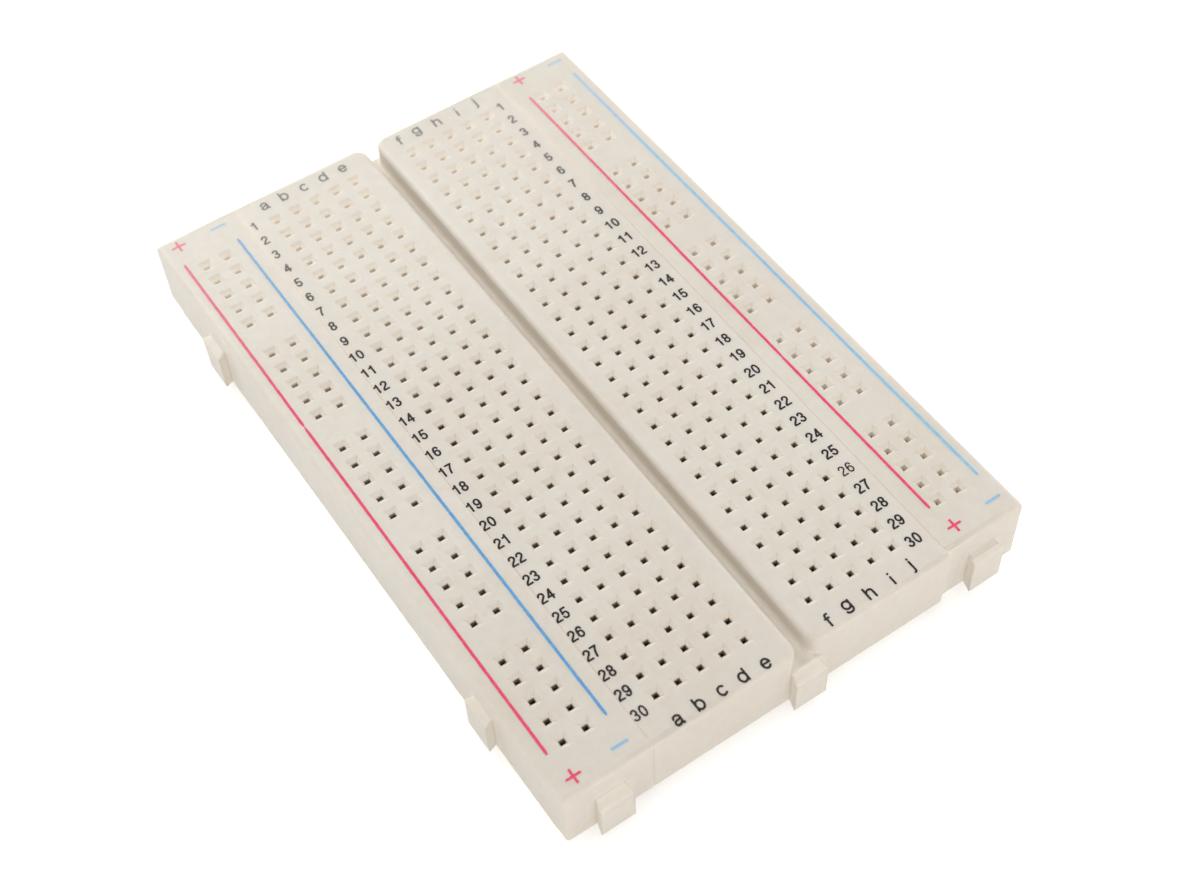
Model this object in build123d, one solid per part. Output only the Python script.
from build123d import *
import os

# Half-size solderless breadboard, 400 tie points, millimetres.
# Frame: origin at the centre of the underside it rests on, +X from column a to column j,
# +Y from row 30 towards row 1, +Z up out of the tie-point face.
# Left and right are -X and +X; front and back are -Y and +Y.

os.makedirs("parts", exist_ok=True)

# ---- tie-point grid ---------------------------------------------------------------
PITCH = 2.54                 # contact spacing
ROWS = 30
COLS_PER_HALF = 5
FIRST_COL_X = 1.5 * PITCH    # columns e and f, half of the spacing across the channel
BUS_INNER_X = 21.08          # power-rail columns
BUS_OUTER_X = BUS_INNER_X + PITCH
BUS_GROUPS = 5
BUS_PER_GROUP = 5
BUS_GROUP_PITCH = 6 * PITCH
BUS_SHIFT_Y = 0.27           # rail contacts off the row lines: left to the front, right to the back
GRID_X = -0.30               # the whole grid sits this far off the middle of the outline
GRID_Y = -0.10

# ---- mouldings --------------------------------------------------------------------
BODY_L = 82.4                # along Y
BODY_W = 54.6                # along X
BODY_H = 8.3
SEAM_X = 17.5                # where the bus strips meet the terminal strip
SEAM_GAP = 0.02
RIGHT_SETBACK = 0.55         # the right strip's front face sits this far behind the others
SEAM_NOTCH = 0.12            # vertical chamfers where two mouldings meet at an end face
PLAN_R = 0.35                # vertical corner radius
TOP_R = 0.65                 # soft top edge, also along the channel
BOTTOM_CH = 0.18
TOP_PLATE = 1.45             # plate over the clip cavities
CHANNEL_W = 1.5              # centre channel
CHANNEL_D = 3.0
CHANNEL_MOUTH_R = 1.5
CAVITY_W = 1.92              # clip cavities, open downwards
CAVITY_END = 1.30            # cavity reaches this far past the last hole centre
BUS_CAVITY_END = 1.15

# ---- tie-point holes ---------------------------------------------------------------
HOLE = 0.76                  # square hole
FUNNEL_TOP = 1.45            # square lead-in at the surface
FUNNEL_D = 0.28
FUNNEL_OVERRUN = 0.2         # the lead-in cutter carries on this far above the surface
SHAFT_DROP = 0.1             # the shaft cutter starts this far below the surface
SHAFT_OVERRUN = 0.5          # and ends this far below the plate

# ---- dovetail tabs (male on the left and front, female on the right and back) ------
SIDE_TAB_Y = (-27.3, 27.3)
END_TAB_X = 22.4             # bus-strip end tabs; the terminal strip's is at x = 0
SIDE_TAB_OUT = 0.95
END_TAB_OUT = 1.2
TAB_ROOT_W = 3.15
TAB_TIP_W = 3.85
TAB_EMBED = 0.3              # the dovetail also runs this far behind its root face
TAB_TOP_DROP = 3.3           # from the top surface to where the tab's sloping top starts
TAB_SLOPE = 0.5              # the sloping top falls this much from root to tip
TAB_CLEAR = 0.06             # added all round for a socket

# ---- backing ----------------------------------------------------------------------
LINER_T = 0.10
FOAM_T = 1.10
PAD_INSET = 0.2              # from the moulding's outline
PAD_END_INSET = 1.3
PAD_SEAM_INSET = 0.12
PAD_SOCKET_INSET = 1.3       # beside the sockets at a seam, so that a passing tab clears the pad
PAD_R = 0.5

# ---- spring clips ------------------------------------------------------------------
SHEET = 0.18
CLIP_LIFT = 0.06             # above the foam
CLIP_HALF_W = 0.74
CLIP_STRAIGHT = 2.1          # upright part of a leaf
PINCH_BELOW_PLATE = 1.15
PINCH_HALF_GAP = 0.05
TIP_HALF = 0.46              # half the opening between the flared tips
TIP_BELOW_PLATE = 0.12
TIP_BEVEL = 0.06             # a tip's inner edge stands this far above its outer edge
FINGER_W = 2.0
SPINE_H = 1.3                # the clip is unslotted up to here
ROW_CLIP_GAP = 0.3           # a row clip is this much shorter than its columns' pitches

# ---- derived ----------------------------------------------------------------------
ZB = LINER_T + FOAM_T        # underside of the mouldings
ZT = ZB + BODY_H             # tie-point face
Z_PLATE = ZT - TOP_PLATE     # underside of the top plate
HALF_L = BODY_L / 2
HALF_W = BODY_W / 2
TERMINAL_EDGE = SEAM_X - SEAM_GAP / 2
BUS_EDGE = SEAM_X + SEAM_GAP / 2

OVERRUN = 1.0                # cutters pass the faces they cut by this much
PLAN_TOL = 1e-4              # for picking edges by their place in plan
LEVEL_TOL = 1e-5             # for picking edges by height

COL_X = [FIRST_COL_X + i * PITCH for i in range(COLS_PER_HALF)]
HALF_CENTRE_X = (COL_X[0] + COL_X[-1]) / 2
ROW_Y = [GRID_Y + ((ROWS - 1) / 2 - r) * PITCH for r in range(ROWS)]
BUS_Y = [
    GRID_Y
    + (group - (BUS_GROUPS - 1) / 2) * BUS_GROUP_PITCH
    + (k - (BUS_PER_GROUP - 1) / 2) * PITCH
    for group in range(BUS_GROUPS)
    for k in range(BUS_PER_GROUP)
]
BUS_SPAN = BUS_Y[-1] - BUS_Y[0]
SIDE_SIGN = {"left": -1, "right": 1}


def block(x0, x1, y0, y1, z0, z1):
    return Pos((x0 + x1) / 2, (y0 + y1) / 2, (z0 + z1) / 2) * Box(x1 - x0, y1 - y0, z1 - z0)


def prism(points, z0, z1):
    """Closed outline in plan, extruded from z0 to z1."""
    return Pos(0, 0, z0) * extrude(make_face(Polyline(*points, close=True)), z1 - z0)


def save(shape, name):
    shape.label = name
    export_step(shape, f"parts/{name}.step")


# ==== features of a moulding =========================================================
def envelope(front, back):
    """Outer block with the centre channel, rounded corners and soft edges."""
    shape = block(-HALF_W, HALF_W, front, back, ZB, ZT)
    shape = shape - block(
        -CHANNEL_W / 2, CHANNEL_W / 2, front - OVERRUN, back + OVERRUN, ZT - CHANNEL_D, ZT + OVERRUN
    )
    mouth_edges = [
        e
        for e in shape.edges().filter_by(Axis.Z)
        if abs(abs(e.center().X) - CHANNEL_W / 2) < PLAN_TOL
        and min(abs(e.center().Y - front), abs(e.center().Y - back)) < PLAN_TOL
    ]
    shape = fillet(mouth_edges, CHANNEL_MOUTH_R)
    top_edges = [e for e in shape.edges() if abs(e.bounding_box().min.Z - ZT) < LEVEL_TOL]
    shape = fillet(top_edges, TOP_R)
    corner_edges = [
        e for e in shape.edges().filter_by(Axis.Z) if abs(abs(e.center().X) - HALF_W) < PLAN_TOL
    ]
    shape = fillet(corner_edges, PLAN_R)
    bottom_edges = [e for e in shape.edges() if abs(e.bounding_box().max.Z - ZB) < LEVEL_TOL]
    return chamfer(bottom_edges, BOTTOM_CH)


def seam_notch(x, y):
    """Square post turned 45 degrees that chamfers a vertical edge."""
    n = SEAM_NOTCH
    return prism([(x - n, y), (x, y - n), (x + n, y), (x, y + n)], ZB - OVERRUN, ZT + OVERRUN)


def dovetail(out, clear, z_low):
    """One dovetail standing out along +X from x = 0, centred on y = 0, with a sloping top."""
    root = TAB_ROOT_W / 2 + clear
    tip = TAB_TIP_W / 2 + clear
    inner_half = root - (tip - root) / out * TAB_EMBED
    x_in, x_tip = -TAB_EMBED, out + clear
    body = prism(
        [(x_in, -inner_half), (x_tip, -tip), (x_tip, tip), (x_in, inner_half)], z_low, ZT
    )
    # everything above the sloping top, drawn as (x, z) and stood upright
    x0, x1 = x_in - OVERRUN, x_tip + OVERRUN
    z_root = ZT - TAB_TOP_DROP + clear
    fall = TAB_SLOPE / out
    above = make_face(
        Polyline(
            (x0, ZT + OVERRUN),
            (x0, z_root - fall * x0),
            (x1, z_root - fall * x1),
            (x1, ZT + OVERRUN),
            close=True,
        )
    )
    return body - Pos(0, TAB_TIP_W, 0) * (Rot(90, 0, 0) * extrude(above, 2 * TAB_TIP_W))


def dovetails(side_x, end_x, end_y, clear=0.0, z_low=ZB):
    """One dovetail pointing to -Y from (end_x, end_y) and two pointing to -X from side_x."""
    end = Pos(end_x, end_y, 0) * Rot(0, 0, -90) * dovetail(END_TAB_OUT, clear, z_low)
    sides = [
        Pos(side_x, y, 0) * Rot(0, 0, 180) * dovetail(SIDE_TAB_OUT, clear, z_low)
        for y in SIDE_TAB_Y
    ]
    return [end] + sides


def cavity(x, y, size_x, size_y):
    """Cutter for one clip cavity centred on (x, y), open at the underside."""
    return block(
        x - size_x / 2, x + size_x / 2, y - size_y / 2, y + size_y / 2, ZB - OVERRUN, Z_PLATE
    )


def hole_cutters(points):
    """A square hole under a square lead-in, for each tie point."""
    half = HOLE / 2
    shaft = block(-half, half, -half, half, Z_PLATE - SHAFT_OVERRUN, ZT - SHAFT_DROP)
    # the lead-in keeps its flare above the surface
    mouth = FUNNEL_TOP + (FUNNEL_TOP - HOLE) / FUNNEL_D * FUNNEL_OVERRUN
    low = Pos(0, 0, ZT - FUNNEL_D) * Rectangle(HOLE, HOLE)
    high = Pos(0, 0, ZT + FUNNEL_OVERRUN) * Rectangle(mouth, mouth)
    cutter = (shaft + loft([low, high])).solids()[0]
    return [cutter.moved(Location((x, y, 0))) for x, y in points]


def moulding(x0, x1, tie_points, cavities, end_tab_x, setback=0.0):
    """One moulding from x0 to x1, with its tie points, cavities, tabs and sockets."""
    front, back = -HALF_L + setback, HALF_L
    body = envelope(front, back) & block(
        x0, x1, -HALF_L - OVERRUN, HALF_L + OVERRUN, ZB - OVERRUN, ZT + OVERRUN
    )
    seams = [x for x in (x0, x1) if abs(x) < HALF_W]
    body = body - [seam_notch(x, y) for x in seams for y in (front, back)]
    body = body + dovetails(x0, end_tab_x, front)
    # sockets, open at the underside
    body = body - dovetails(x1, end_tab_x, back, TAB_CLEAR, ZB - OVERRUN)
    body = body - cavities
    body = body - hole_cutters(tie_points)
    return body.solids()[0] if len(body.solids()) == 1 else body


# ==== mouldings =====================================================================
def terminal_strip():
    points = [(GRID_X + sign * x, y) for y in ROW_Y for sign in (-1, 1) for x in COL_X]
    length = COL_X[-1] - COL_X[0] + 2 * CAVITY_END
    cavities = [
        cavity(GRID_X + sign * HALF_CENTRE_X, y, length, CAVITY_W)
        for y in ROW_Y
        for sign in (-1, 1)
    ]
    return moulding(-TERMINAL_EDGE, TERMINAL_EDGE, points, cavities, 0.0)


def bus_strip(side, x0, x1, setback):
    sign = SIDE_SIGN[side]
    shift = sign * BUS_SHIFT_Y
    columns = [GRID_X + sign * x for x in (BUS_INNER_X, BUS_OUTER_X)]
    points = [(x, y + shift) for x in columns for y in BUS_Y]
    length = BUS_SPAN + 2 * BUS_CAVITY_END
    cavities = [cavity(x, GRID_Y + shift, CAVITY_W, length) for x in columns]
    return moulding(x0, x1, points, cavities, sign * END_TAB_X, setback)


save(terminal_strip(), "terminal_strip_body")
for side, x0, x1, setback in (
    ("left", -HALF_W, -BUS_EDGE, 0.0),
    ("right", BUS_EDGE, HALF_W, RIGHT_SETBACK),
):
    save(bus_strip(side, x0, x1, setback), f"{side}_bus_strip_body")


# ==== spring clips ==================================================================
Z_CLIP = ZB + CLIP_LIFT      # underside of a clip


def leaf_profile(side):
    """Outline (across, up) of one leaf: up the wall, in to the pinch, out to the flared tip."""
    z_foot = Z_CLIP + SHEET / 2
    z_bend = Z_CLIP + CLIP_STRAIGHT
    z_pinch = Z_PLATE - PINCH_BELOW_PLATE
    z_tip = Z_PLATE - TIP_BELOW_PLATE
    outer = [
        (CLIP_HALF_W, z_foot),
        (CLIP_HALF_W, z_bend),
        (PINCH_HALF_GAP + SHEET, z_pinch),
        (TIP_HALF + SHEET, z_tip),
    ]
    inner = [
        (TIP_HALF, z_tip + TIP_BEVEL),
        (PINCH_HALF_GAP, z_pinch),
        (CLIP_HALF_W - SHEET, z_bend),
        (CLIP_HALF_W - SHEET, z_foot),
    ]
    return [(side * across, up) for across, up in outer + inner]


def spine_profile():
    """Outline (across, up) of the U-shaped spine."""
    wall = CLIP_HALF_W
    top, floor = Z_CLIP + SPINE_H, Z_CLIP + SHEET
    return [
        (-wall, Z_CLIP),
        (wall, Z_CLIP),
        (wall, top),
        (wall - SHEET, top),
        (wall - SHEET, floor),
        (-wall + SHEET, floor),
        (-wall + SHEET, top),
        (-wall, top),
    ]


def along_x(points, length, centre=0.0):
    """Outline in (Y, Z) extruded along X, centred on x = centre."""
    face = make_face(Polyline(*points, close=True))
    plane = Plane(origin=(centre - length / 2, 0, 0), x_dir=(0, 1, 0), z_dir=(1, 0, 0))
    return extrude(plane * face, length)


def spring_clip(centres, length):
    """A folded spine along X, centred on x = 0, with a pair of pinching leaves at each centre."""
    leaves = [along_x(leaf_profile(side), FINGER_W, c) for c in centres for side in (-1, 1)]
    return (along_x(spine_profile(), length) + leaves).solids()[0]


row_clip = spring_clip([x - HALF_CENTRE_X for x in COL_X], COLS_PER_HALF * PITCH - ROW_CLIP_GAP)
for row, y in enumerate(ROW_Y, start=1):
    pair = [
        row_clip.moved(Location((GRID_X + sign * HALF_CENTRE_X, y, 0))) for sign in (-1, 1)
    ]
    save(Compound(children=pair), f"terminal_clips_row_{row:02d}")

# only the leaves carry the grid's Y offset; the spine stays centred
bus_clip = spring_clip(BUS_Y, BUS_SPAN + FINGER_W).rotate(Axis.Z, 90)
for side, polarity, x in (
    ("left", "positive", -BUS_OUTER_X),
    ("left", "negative", -BUS_INNER_X),
    ("right", "positive", BUS_INNER_X),
    ("right", "negative", BUS_OUTER_X),
):
    place = Location((GRID_X + x, SIDE_SIGN[side] * BUS_SHIFT_Y, 0))
    save(bus_clip.moved(place), f"{side}_{polarity}_bus_clip")


# ==== foam pads and release liners ==================================================
def backing_sheet(x0, x1, z0, z1):
    """Flat sheet with rounded corners."""
    y = HALF_L - PAD_END_INSET
    sheet = block(x0, x1, -y, y, z0, z1)
    return fillet(sheet.edges().filter_by(Axis.Z), PAD_R)


for name, x0, x1 in (
    ("left_bus", -HALF_W + PAD_INSET, -SEAM_X - PAD_SOCKET_INSET),
    ("terminal", -SEAM_X + PAD_SEAM_INSET, SEAM_X - PAD_SOCKET_INSET),
    ("right_bus", SEAM_X + PAD_SEAM_INSET, HALF_W - PAD_INSET),
):
    save(backing_sheet(x0, x1, LINER_T, ZB), f"{name}_foam_pad")
    save(backing_sheet(x0, x1, 0.0, LINER_T), f"{name}_release_liner")
